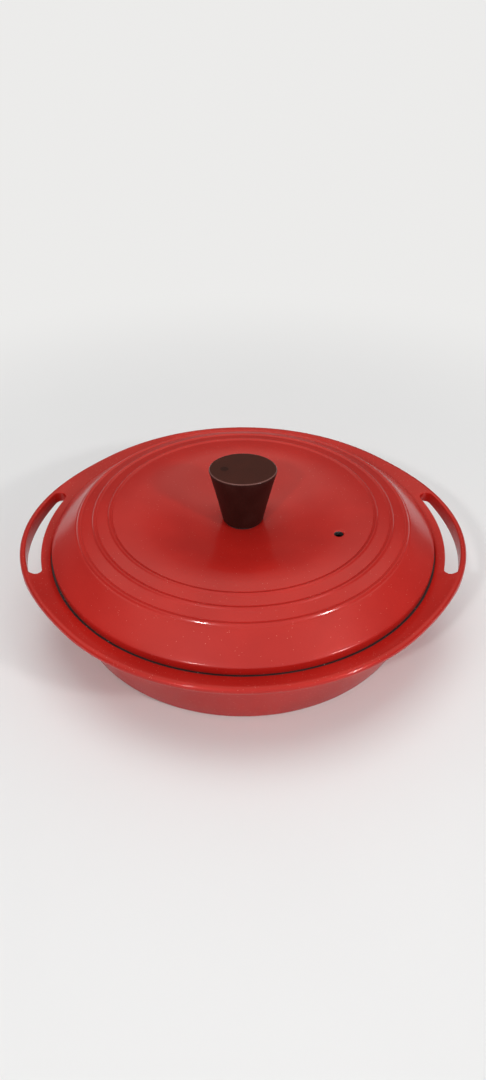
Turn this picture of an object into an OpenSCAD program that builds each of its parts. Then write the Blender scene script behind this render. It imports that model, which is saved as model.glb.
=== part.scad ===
// Low round casserole with integral side handles and a lift-off lid.
// Millimetres. +Z is up, the origin is the centre of the base on the surface
// that the pot stands on, and the two handles lie along X.

/* [Pot] */
// Inside diameter of the pot where the lid drops in
mouth_d = 240; // [226:1:244]
// Outside diameter of the base
base_d = 224; // [196:1:228]
// Height of the pot from the base to the top of the lip
pot_h = 52; // [46:0.5:80]
// Outside diameter of the lip, front to back
lip_d = 276; // [268:1:284]
// Thickness of the cast wall
wall_t = 3.3; // [2.5:0.1:4.5]
// Thickness of the cast floor
floor_t = 4.6; // [3.5:0.1:6]

/* [Handles] */
// Overall width across the two handles
span = 289; // [286:1:300]
// Length of the finger slot in each handle
slot_len = 88; // [60:1:96]
// Thickness of the bar outside the finger slot
bar_t = 3.8; // [3:0.1:6]
// Depth of the bar at the middle of the handle
bar_h = 11; // [8:0.5:16]

/* [Base relief] */
// Diameter of the plain circle at the middle of the base
centre_ring_d = 67; // [40:1:80]
// Number of large leaves
big_leaves = 10; // [6:1:12]
// Number of small leaves
small_leaves = 20; // [12:1:24]
// Height of the raised lines
relief_h = 0.4; // [0.2:0.05:0.5]

/* [Lid] */
// Outside diameter of the lid
lid_d = 247; // [244:0.5:248]
// Height of the upright band at the lid's edge
band_h = 6.5; // [4:0.5:9]
// Height of the lid's crest above the band
crest_h = 17.5; // [15:0.5:24]
// Depth of the dish that the knob stands in
dish_depth = 10.4; // [6:0.2:12]
// Thickness of the cast lid
lid_t = 3.4; // [2.8:0.1:4.5]
// Diameter of the innermost of the three beads
bead_d = 170; // [164:1:172]
// Step in diameter from one bead to the next
bead_step = 20; // [14:1:20]
// Diameter of the steam vent
vent_d = 5.4; // [3:0.1:6]
// Distance of the steam vent from the middle of the lid
vent_r = 66; // [50:1:72]

/* [Knob] */
// Height of the knob
knob_h = 37.2; // [26:0.2:40]
// Width of the knob's top, side to side
knob_top_w = 42.6; // [34:0.2:46]
// Width of the knob's top, front to back
knob_top_b = 37; // [30:0.2:46]
// Diameter of the knob's foot
knob_foot_d = 26.6; // [22:0.2:30]

/* [Knob fixing] */
// Shank diameter of the knob screw
screw_d = 5; // [4:0.5:6]
// Length of the screw under its head
screw_len = 20; // [16:1:22]
// Thickness of the silicone gasket under the knob
gasket_t = 1; // [0.8:0.1:2]
// Thickness of the steel washer under the lid
washer_t = 1; // [0.8:0.1:1.5]

/* [Hidden] */
$fn = 96;
eps = 0.01;
far = 400;

RED = [0.72, 0.14, 0.12];
DARK = [0.17, 0.10, 0.08];
STEEL = [0.75, 0.75, 0.76];
BRASS = [0.80, 0.66, 0.34];
SILICONE = [0.16, 0.15, 0.15];

mouth_r = mouth_d / 2;
base_r = base_d / 2;
lip_r = lip_d / 2;
lid_r = lid_d / 2;

// Pot section
edge_r = 2.1;                        // radius of the rounded lip edge
crease_h = pot_h - 12.5;             // where the wall turns out into the lip
crease_r = mouth_r + wall_t - 0.3;
foot_round = 2;                      // rounding between base and wall
seat_h = pot_h - 5;                  // height of the ledge that carries the lid
seat_r = lid_r + 1.2;                // the recess that the lid drops into
floor_round = 5;                     // rounding between floor and wall
wall_low = floor_t + floor_round + 2; // the casting's floor part ends at this height
inner_foot_r = base_r + 1 - wall_t;

// Base rings, from the outside inwards
foot_band_w = 3.7;
groove_w = 1.2;
groove_deep = 0.9;
bead_w = 1.4;
inner_band_w = 3.2;
twin_groove_w = 2.6;
disc_up = 0.6;                       // the middle of the base is held off the surface
disc_r = base_r - foot_band_w - 2 * groove_w - bead_w - inner_band_w - twin_groove_w;

// Handles
lobe_x = 36;                         // centre of the handle's outer curve
lobe_r = span / 2 - lobe_x;
bar_low = pot_h - bar_h;
slot_in_r = mouth_r + 10.5;          // side of the slot next to the pot
slot_out_r = lobe_r - bar_t;
slot_end_r = 3.4;
arch_y = 70;                         // the bar fades into the lip at this distance
arch_rise = pot_h - 3 - bar_low;
arch_r = (arch_y * arch_y + arch_rise * arch_rise) / (2 * arch_rise);
slot_end_y = slot_len / 2 - slot_end_r;
handle_y = arch_y;                   // half length of the handle part of the casting
slot_end_x = (sqrt(slot_in_r * slot_in_r - slot_end_y * slot_end_y)
    + lobe_x + sqrt(slot_out_r * slot_out_r - slot_end_y * slot_end_y)) / 2;

// Lid, measured up from the ledge
seat_gap = 0.3;                      // thickness that the coats take up
lid_z = seat_h + seat_gap;
band_top = lid_z + band_h;
crest_r = 74;
dish_r = 15;                         // flat seat of the knob
dish_z = band_top + crest_h - dish_depth;
slope_r = bead_d / 2 + bead_step + 2;
curve = 0.005;                       // how fast the crest falls away outwards
bead_rise = 0.8;
bead_half = 1.3;
guide_r = mouth_r - 0.8;             // ring that centres the lid in the mouth
guide_t = 2.6;
guide_h = 3;
band_in_r = guide_r - guide_t;
edge_round = 2;
vent_angle = -27;
vent_z = crest_z(vent_r);

// Knob fixing
knob_z = dish_z + gasket_t;
knob_top_z = knob_z + knob_h;
insert_d = 8;
insert_len = 14;
insert_up = 1.5;
under_z = dish_z - lid_t;            // underside of the lid at the middle
head_h = 3;
head_d = 9.6;
washer_d = 14;
fit_gap = 0.05;
hole_d = screw_d + 0.5;

// Points of an arc about [x, y], from angle a to angle b, in n steps
function arc(x, y, r, a, b, n) =
    [for (i = [0:n]) [x + r * cos(a + (b - a) * i / n), y + r * sin(a + (b - a) * i / n)]];

// Section of one groove in the base, from radius a out to radius b
function groove(a, b) =
    [[a, 0], [a + 0.3, groove_deep], [b - 0.3, groove_deep], [b, 0]];

// Underside of the base, from the middle outwards
function base_line() =
    let (twin = disc_r + twin_groove_w / 2,
         band_a = disc_r + twin_groove_w,
         band_b = band_a + inner_band_w,
         bead_a = band_b + groove_w,
         bead_b = bead_a + bead_w)
    concat([[0, disc_up], [disc_r, disc_up], [disc_r + 0.3, groove_deep + disc_up]],
        [[twin - 0.4, groove_deep + disc_up], [twin, 0.3], [twin + 0.4, groove_deep]],
        [[band_a - 0.3, groove_deep], [band_a, 0]],
        groove(band_b, bead_a), groove(bead_b, bead_b + groove_w));

// Height of the lid's upper surface inside the beads, at radius r
function crest_z(r) =
    r < dish_r ? dish_z
    : r < crest_r ? dish_z + dish_depth * (1 - cos(180 * (r - dish_r) / (crest_r - dish_r))) / 2
    : band_top + crest_h - curve * (r - crest_r) * (r - crest_r);

// Upper surface with a small bead raised on it, as points outwards
function bead(r) =
    [for (a = [-90:30:90])
        let (x = r + bead_half * sin(a))
        [x, crest_z(x) + bead_rise * cos(a)]];

function dish_line() =
    [for (i = [0:12]) let (r = dish_r + (crest_r - dish_r) * i / 12) [r, crest_z(r)]];

function lid_top_line() =
    concat([[0, dish_z]], dish_line(),
        bead(bead_d / 2), bead(bead_d / 2 + bead_step / 2), bead(bead_d / 2 + bead_step),
        [[slope_r, crest_z(slope_r)]],
        arc(lid_r - edge_round, band_top - edge_round, edge_round, 50, 0, 5));

function lid_under_line() =
    concat([[band_in_r, lid_z + 0.4 * band_h], [slope_r - 0.8, crest_z(slope_r) - lid_t],
            [bead_d / 2, crest_z(bead_d / 2) - lid_t]],
        [for (i = [12:-1:0])
            let (r = dish_r + (crest_r - dish_r) * i / 12) [r, crest_z(r) - lid_t]],
        [[0, under_z]]);

// Outer shape of the pot as if it were solid
module pot_outside() {
    rotate_extrude()
        polygon(concat(base_line(),
            arc(base_r - 0.6, foot_round, foot_round, -90, -10, 5),
            [[crease_r, crease_h]],
            arc(lip_r - edge_r, pot_h - edge_r, edge_r, -60, 90, 8),
            [[0, pot_h]]));
}

// Everything that is empty inside the pot, up past the lip
module pot_inside() {
    rotate_extrude()
        polygon(concat([[0, floor_t]],
            arc(inner_foot_r - floor_round, floor_t + floor_round, floor_round, -90, -10, 6),
            [[crease_r - wall_t, crease_h], [mouth_r, seat_h], [seat_r, seat_h],
             [seat_r, seat_h + 1], [lip_r - edge_r - 0.8, pot_h],
             [lip_r - edge_r, pot_h + 5], [0, pot_h + 5]]));
}

// The swelling of the lip that makes one handle, before its slot
module handle_swelling() {
    intersection() {
        translate([lobe_x, 0, 0])
            rotate_extrude()
                polygon(concat([[60, bar_low]],
                    arc(lobe_r - 1.6, bar_low + 1.6, 1.6, -90, 0, 4),
                    arc(lobe_r - edge_r, pot_h - edge_r, edge_r, 0, 90, 5),
                    [[60, pot_h]]));
        translate([mouth_r - 20, 0, bar_low + arch_r])
            rotate([0, 90, 0])
                cylinder(r = arch_r, h = 60, $fn = 360);
    }
}

// The finger slot through one handle
module finger_slot() {
    translate([0, 0, pot_h - 30]) {
        intersection() {
            difference() {
                translate([lobe_x, 0, 0])
                    cylinder(r = slot_out_r, h = 40);
                translate([0, 0, -1])
                    cylinder(r = slot_in_r, h = 42);
            }
            translate([lobe_x, -slot_end_y, 0])
                cube([far, 2 * slot_end_y, 40]);
        }
        for (side = [-1, 1])
            translate([slot_end_x, side * slot_end_y, 0])
                cylinder(r = slot_end_r, h = 40);
    }
}

// Area of a plain pointed leaf lying along X with its middle at the origin
module leaf_area(len, wide) {
    bow = (len * len / 4 + wide * wide / 4) / wide;
    intersection_for (side = [-1, 1])
        translate([0, side * (bow - wide / 2)])
            circle(r = bow);
}

// Raised outline of a leaf with its midrib, standing on the base
module leaf_relief(len, wide, line) {
    translate([0, 0, disc_up - relief_h])
        linear_extrude(relief_h + 0.2) {
            difference() {
                leaf_area(len, wide);
                leaf_area(len - 3.2 * line, wide - 2 * line);
            }
            translate([-len * 0.32, -line / 2])
                square([len * 0.5, line]);
        }
}

// Two wreaths of leaves around a plain circle
module base_relief() {
    difference() {
        translate([0, 0, disc_up - relief_h])
            cylinder(d = centre_ring_d, h = relief_h + 0.2);
        translate([0, 0, -1])
            cylinder(d = centre_ring_d - 1.6, h = 4);
    }
    for (i = [0:big_leaves - 1])
        rotate([0, 0, 360 / big_leaves * (i + 0.5)])
            translate([base_r * 0.475, 0, 0])
                rotate([0, 0, 24])
                    leaf_relief(24, 12, 0.9);
    for (i = [0:small_leaves - 1])
        rotate([0, 0, 360 / small_leaves * i])
            translate([base_r * 0.715, 0, 0])
                rotate([0, 0, i % 2 == 0 ? -38 : -62])
                    leaf_relief(15, 7, 0.8);
}

// The whole bowl of the casting, without its handles
module bowl() {
    difference() {
        pot_outside();
        pot_inside();
    }
}

// The slice of the bowl between two heights
module bowl_slice(low, high) {
    intersection() {
        bowl();
        translate([0, 0, low])
            cylinder(r = far / 2, h = high - low);
    }
}

// The space of the handle on one side, outwards from the finger slot's inner edge
module handle_space() {
    difference() {
        translate([0, -handle_y, crease_h])
            cube([far / 2, 2 * handle_y, pot_h]);
        translate([0, 0, crease_h - 1])
            cylinder(r = slot_in_r, h = pot_h + 2);
    }
}

// Floor of the casting, with the rings and the relief that it stands on
module pot_floor() {
    color(RED) {
        bowl_slice(-1, wall_low);
        base_relief();
    }
}

// Upright wall of the casting, up to where it turns out
module pot_wall() {
    color(RED)
        bowl_slice(wall_low, crease_h);
}

// Flared lip of the casting, with the ledge that carries the lid
module pot_lip() {
    color(RED)
        difference() {
            bowl_slice(crease_h, pot_h + 1);
            for (turn = [0, 180])
                rotate([0, 0, turn])
                    handle_space();
        }
}

// One slotted handle of the casting, on the +X side
module handle() {
    intersection() {
        difference() {
            union() {
                bowl_slice(crease_h, pot_h + 1);
                handle_swelling();
            }
            pot_inside();
            finger_slot();
        }
        handle_space();
    }
}

module handle_right() {
    color(RED)
        handle();
}

module handle_left() {
    color(RED)
        rotate([0, 0, 180])
            handle();
}

module lid_shell() {
    color(RED)
        difference() {
            rotate_extrude()
                polygon(concat(lid_top_line(),
                    [[lid_r, lid_z + 0.8], [lid_r - 0.8, lid_z], [guide_r, lid_z],
                     [guide_r - 0.4, lid_z - guide_h], [band_in_r, lid_z - guide_h]],
                    lid_under_line()));
            translate([0, 0, under_z - 1])
                cylinder(d = hole_d, h = lid_t + 2);
            rotate([0, 0, vent_angle])
                translate([vent_r, 0, vent_z - lid_t - 3])
                    cylinder(d = vent_d, h = lid_t + 6);
        }
}

module knob_gasket() {
    color(SILICONE)
        translate([0, 0, dish_z])
            difference() {
                cylinder(d = knob_foot_d - 2, h = gasket_t);
                translate([0, 0, -1])
                    cylinder(d = hole_d, h = gasket_t + 2);
            }
}

// The oval top of the knob, w wide and b deep
module knob_oval(w, b) {
    linear_extrude(eps)
        polygon([for (a = [0:5:355]) [w / 2 * cos(a), b / 2 * sin(a)]]);
}

module knob() {
    round_top = 1.2;
    color(DARK)
        difference() {
            hull() {
                translate([0, 0, knob_z])
                    cylinder(d = knob_foot_d - 1.6, h = eps, $fn = 72);
                translate([0, 0, knob_z + 0.8])
                    cylinder(d = knob_foot_d, h = eps, $fn = 72);
                translate([0, 0, knob_top_z - round_top])
                    knob_oval(knob_top_w, knob_top_b);
                translate([0, 0, knob_top_z - round_top * 0.3])
                    knob_oval(knob_top_w - round_top * 0.6, knob_top_b - round_top * 0.6);
                translate([0, 0, knob_top_z - eps])
                    knob_oval(knob_top_w - round_top * 2, knob_top_b - round_top * 2);
            }
            translate([0, 0, knob_z - 1])
                cylinder(d = hole_d, h = screw_len + 1);
            translate([0, 0, knob_z + insert_up])
                cylinder(d = insert_d, h = insert_len);
        }
}

module knob_insert() {
    color(BRASS)
        translate([0, 0, knob_z + insert_up])
            difference() {
                cylinder(d = insert_d, h = insert_len);
                translate([0, 0, -1])
                    cylinder(d = screw_d, h = insert_len + 2);
            }
}

module screw_washer() {
    color(STEEL)
        translate([0, 0, under_z - washer_t])
            difference() {
                cylinder(d = washer_d, h = washer_t);
                translate([0, 0, -1])
                    cylinder(d = hole_d, h = washer_t + 2);
            }
}

module knob_screw() {
    head_z = under_z - washer_t;
    color(STEEL)
        difference() {
            union() {
                translate([0, 0, head_z])
                    cylinder(d = screw_d, h = screw_len);
                translate([0, 0, head_z])
                    rotate([180, 0, 0])
                        rotate_extrude()
                            polygon([[0, 0], [head_d / 2, 0], [head_d / 2, head_h * 0.5],
                                     [head_d * 0.36, head_h * 0.88], [head_d * 0.2, head_h],
                                     [0, head_h]]);
            }
            for (turn = [0, 90])
                rotate([0, 0, turn])
                    translate([-2.4, -0.5, head_z - head_h - 1])
                        cube([4.8, 1, 2.8]);
        }
}

pot_floor();
pot_wall();
pot_lip();
handle_right();
handle_left();
lid_shell();
knob_gasket();
knob();
knob_insert();
screw_washer();
knob_screw();
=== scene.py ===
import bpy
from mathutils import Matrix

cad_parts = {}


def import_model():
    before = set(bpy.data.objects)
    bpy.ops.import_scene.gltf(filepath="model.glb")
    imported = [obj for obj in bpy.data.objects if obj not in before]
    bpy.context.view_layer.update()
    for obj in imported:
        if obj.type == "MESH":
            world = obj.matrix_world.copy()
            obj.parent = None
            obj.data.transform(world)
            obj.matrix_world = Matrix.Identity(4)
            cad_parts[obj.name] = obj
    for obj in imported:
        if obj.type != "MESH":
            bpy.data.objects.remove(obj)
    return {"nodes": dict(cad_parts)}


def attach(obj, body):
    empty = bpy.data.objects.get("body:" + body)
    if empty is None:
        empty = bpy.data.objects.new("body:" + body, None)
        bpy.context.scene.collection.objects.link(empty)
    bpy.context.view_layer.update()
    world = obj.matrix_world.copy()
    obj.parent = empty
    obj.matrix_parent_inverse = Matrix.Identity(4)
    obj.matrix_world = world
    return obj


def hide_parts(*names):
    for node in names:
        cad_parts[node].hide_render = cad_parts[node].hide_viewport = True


frame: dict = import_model()

import logging
import math
from dataclasses import dataclass
from enum import Enum
from typing import Callable, Iterable, Sequence

import bmesh
import bpy
from mathutils import Matrix, Vector

log = logging.getLogger("casserole")

# Low cast casserole with a lift-off lid. Section sizes are in millimetres, as
# drawn, and every mesh is in metres, with the pot standing on z = 0.

MM = 0.001
WELD = 2e-6                 # vertices closer than this, in metres, are one vertex
FULL_TURN = 2 * math.pi

Pair = tuple[float, float]
Colour = tuple[float, float, float, float]

BACKDROP: Colour = (0.84, 0.835, 0.825, 1.0)


class Body(Enum):
    """The two bodies that the pieces ride on."""

    POT = "pot"
    LID = "lid"


class Side(Enum):
    """The two sides of the lid's plate."""

    TOP = 1
    UNDER = -1


# ---------------------------------------------------------------- sections


@dataclass(frozen=True)
class Corner:
    """A corner of a section: radius from the axis, height and rounding, in mm."""

    r: float
    z: float
    rounding: float = 0.0


class Section:
    """A section to be spun about the axis, drawn corner by corner."""

    def __init__(self) -> None:
        """Starts with no corners."""
        self.corners: list[Corner] = []

    def to(self, r: float, z: float, rounding: float = 0.0) -> "Section":
        """Adds a corner.

        Args:
            r: Distance from the axis, in mm.
            z: Height, in mm.
            rounding: Radius of the corner's rounding, in mm.

        Returns:
            The section itself, so that corners can be chained.
        """
        self.corners.append(Corner(r, z, rounding))
        return self

    def along(self, points: Iterable[Pair]) -> "Section":
        """Adds a run of plain corners.

        Args:
            points: Radius and height of each corner, in mm.

        Returns:
            The section itself.
        """
        for r, z in points:
            self.to(r, z)
        return self

    def arc(self, r: float, z: float, radius: float, start: float, stop: float,
            steps: int) -> "Section":
        """Adds an arc about a centre.

        Args:
            r: Centre's distance from the axis, in mm.
            z: Centre's height, in mm.
            radius: Radius of the arc, in mm.
            start: First angle, in degrees from the outward direction.
            stop: Last angle, in degrees.
            steps: Number of chords.

        Returns:
            The section itself.
        """
        for i in range(steps + 1):
            a = math.radians(start + (stop - start) * i / steps)
            self.to(r + radius * math.cos(a), z + radius * math.sin(a))
        return self

    def points(self, steps: int = 4) -> list[Pair]:
        """Draws the section with its corners rounded.

        Args:
            steps: Number of chords in each rounding.

        Returns:
            Radius and height of each point, in metres.
        """
        out: list[Pair] = []
        last = len(self.corners) - 1
        for i, c in enumerate(self.corners):
            if c.rounding <= 0 or i in (0, last):
                out.append((c.r * MM, c.z * MM))
                continue
            here = Vector((c.r, c.z))
            before = Vector((self.corners[i - 1].r, self.corners[i - 1].z)) - here
            after = Vector((self.corners[i + 1].r, self.corners[i + 1].z)) - here
            half = before.angle(after) / 2
            reach = min(c.rounding / math.tan(half), 0.48 * before.length, 0.48 * after.length)
            a = here + before.normalized() * reach
            b = here + after.normalized() * reach
            for k in range(steps + 1):
                u = k / steps
                p = a * (1 - u) ** 2 + here * (2 * u * (1 - u)) + b * u ** 2
                out.append((p.x * MM, p.y * MM))
        return out


# ---------------------------------------------------------------- bench


def clear_selection() -> None:
    """Leaves edit mode and deselects everything."""
    if bpy.context.object is not None and bpy.context.object.mode != "OBJECT":
        bpy.ops.object.mode_set(mode="OBJECT")
    bpy.ops.object.select_all(action="DESELECT")


def set_in_place() -> None:
    """Applies the place, turn and size of the active object to its mesh."""
    bpy.ops.object.transform_apply(location=True, rotation=True, scale=True)


class Workpiece:
    """One mesh on the bench, shaped in edit mode with the modelling operators."""

    def __init__(self, name: str) -> None:
        """Takes the object that a primitive has just added and names it.

        Args:
            name: Name for the object and its mesh.
        """
        self.item: bpy.types.Object = bpy.context.object
        self.item.name = name
        self.item.data.name = name

    @classmethod
    def spun(cls, name: str, points: Sequence[Pair],
             turns: Sequence[tuple[float, int]]) -> "Workpiece":
        """Draws a section by extruding one vertex, then spins it about Z.

        Args:
            name: Name for the piece.
            points: Radius and height of the section's points, in metres.
            turns: Angle in degrees and number of steps of each spin, in order.

        Returns:
            The spun piece, in edit mode, welded and with its faces outwards.
        """
        clear_selection()
        r, z = points[0]
        bpy.ops.mesh.primitive_plane_add(size=MM, location=(r, 0, z))
        piece = cls(name)
        set_in_place()
        piece.pick_all()
        bpy.ops.mesh.merge(type="CENTER")
        for (r0, z0), (r1, z1) in zip(points, points[1:]):
            bpy.ops.mesh.extrude_region_move(
                TRANSFORM_OT_translate={"value": (r1 - r0, 0, z1 - z0)})
        bpy.ops.mesh.select_all(action="SELECT")
        for angle, steps in turns:
            bpy.ops.mesh.spin(steps=steps, angle=-math.radians(angle),
                              center=(0, 0, 0), axis=(0, 0, 1))
        piece.weld()
        return piece

    # ---- selecting

    def edit(self) -> bmesh.types.BMesh:
        """Puts the piece in edit mode and returns its edit mesh."""
        bpy.context.view_layer.objects.active = self.item
        self.item.select_set(True)
        if self.item.mode != "EDIT":
            bpy.ops.object.mode_set(mode="EDIT")
        return bmesh.from_edit_mesh(self.item.data)

    def hold(self) -> bpy.types.Object:
        """Leaves edit mode, selects this piece alone and returns its object."""
        clear_selection()
        self.item.select_set(True)
        bpy.context.view_layer.objects.active = self.item
        return self.item

    def pick_all(self) -> None:
        """Selects every vertex."""
        self.edit()
        bpy.ops.mesh.select_mode(type="VERT")
        bpy.ops.mesh.select_all(action="SELECT")

    def pick(self, kind: str, choose: Callable[[bmesh.types.BMesh], Iterable]) -> int:
        """Selects some elements of one kind, and nothing else.

        Args:
            kind: Blender's name for the kind: VERT, EDGE or FACE.
            choose: Lists the wanted elements of a mesh.

        Returns:
            The number of elements selected.
        """
        self.edit()
        bpy.ops.mesh.select_mode(type=kind)
        bpy.ops.mesh.select_all(action="DESELECT")
        mesh = bmesh.from_edit_mesh(self.item.data)
        wanted = list(choose(mesh))
        for element in wanted:
            element.select_set(True)
        bmesh.update_edit_mesh(self.item.data)
        return len(wanted)

    def pick_faces(self, test: Callable[[bmesh.types.BMFace], bool]) -> int:
        """Selects the faces that pass a test, and returns their number."""
        return self.pick("FACE", lambda mesh: (f for f in mesh.faces if test(f)))

    def pick_edges(self, test: Callable[[bmesh.types.BMEdge], bool]) -> int:
        """Selects the edges that pass a test, and returns their number."""
        return self.pick("EDGE", lambda mesh: (e for e in mesh.edges if test(e)))

    def pick_vertices(self, numbers: Iterable[int]) -> int:
        """Selects vertices by their numbers, and returns how many."""
        def numbered(mesh: bmesh.types.BMesh) -> Iterable[bmesh.types.BMVert]:
            """Lists the wanted vertices."""
            mesh.verts.ensure_lookup_table()
            return (mesh.verts[n] for n in numbers)

        return self.pick("VERT", numbered)

    def places(self) -> list[Vector]:
        """Returns a copy of every vertex's place, in the order of the mesh."""
        mesh = self.edit()
        return [v.co.copy() for v in mesh.verts]

    # ---- shaping

    def weld(self) -> None:
        """Merges doubled vertices and turns every face outwards."""
        self.pick_all()
        bpy.ops.mesh.remove_doubles(threshold=WELD)
        bpy.ops.mesh.normals_make_consistent(inside=False)
        bpy.ops.mesh.select_all(action="DESELECT")

    def apply_modifier(self, kind: str, **settings: object) -> None:
        """Adds a modifier and applies it.

        Args:
            kind: Blender's name for the modifier's type.
            **settings: Values of the modifier's own properties.
        """
        modifier = self.hold().modifiers.new(kind.lower(), kind)
        for key, value in settings.items():
            setattr(modifier, key, value)
        bpy.ops.object.modifier_apply(modifier=modifier.name)

    def join(self, others: Sequence[bpy.types.Object]) -> None:
        """Joins other objects into this piece."""
        self.hold()
        for other in others:
            other.select_set(True)
        bpy.ops.object.join()

    def finish(self, smooth_degrees: float = 38.0) -> bpy.types.Object:
        """Leaves edit mode, applies the place and smooths the soft edges.

        Args:
            smooth_degrees: Edges turning by less than this are shaded smooth.

        Returns:
            The finished object.
        """
        self.hold()
        set_in_place()
        bpy.ops.object.shade_smooth_by_angle(angle=math.radians(smooth_degrees))
        clear_selection()
        return self.item

    # ---- dressing

    def dress(self, *coats: bpy.types.Material) -> None:
        """Gives the piece its material slots, the first of them on every face."""
        self.item.data.materials.clear()
        for coat in coats:
            self.item.data.materials.append(coat)

    def coat_faces(self, slot: int, test: Callable[[bmesh.types.BMFace], bool]) -> None:
        """Puts one of the piece's materials on the faces that pass a test.

        Args:
            slot: Number of the material slot.
            test: Says whether a face is coated.
        """
        self.pick_faces(test)
        self.item.active_material_index = slot
        bpy.ops.object.material_slot_assign()


def ring_radius(point: Vector) -> float:
    """Returns a point's distance from the Z axis, in mm."""
    return math.hypot(point.x, point.y) / MM


def column_key(point: Vector) -> int:
    """Returns a number that all the points of one column of a spun mesh share."""
    return round(math.degrees(math.atan2(point.y, point.x)) * 16)


def soft_max(a: float, b: float, blend: float) -> float:
    """Returns the larger of two values, with a soft change-over.

    Args:
        a: First value.
        b: Second value.
        blend: Difference past which the larger value is returned as it is.

    Returns:
        The softened maximum.
    """
    near = max(blend - abs(a - b), 0.0) / blend
    return max(a, b) + near ** 2 * blend / 4


def handle_angle(point: Vector) -> float:
    """Returns a point's angle from the middle of the nearer handle, in radians."""
    return abs(math.atan2(point.y, abs(point.x)))


# ---------------------------------------------------------------- finishes


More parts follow.
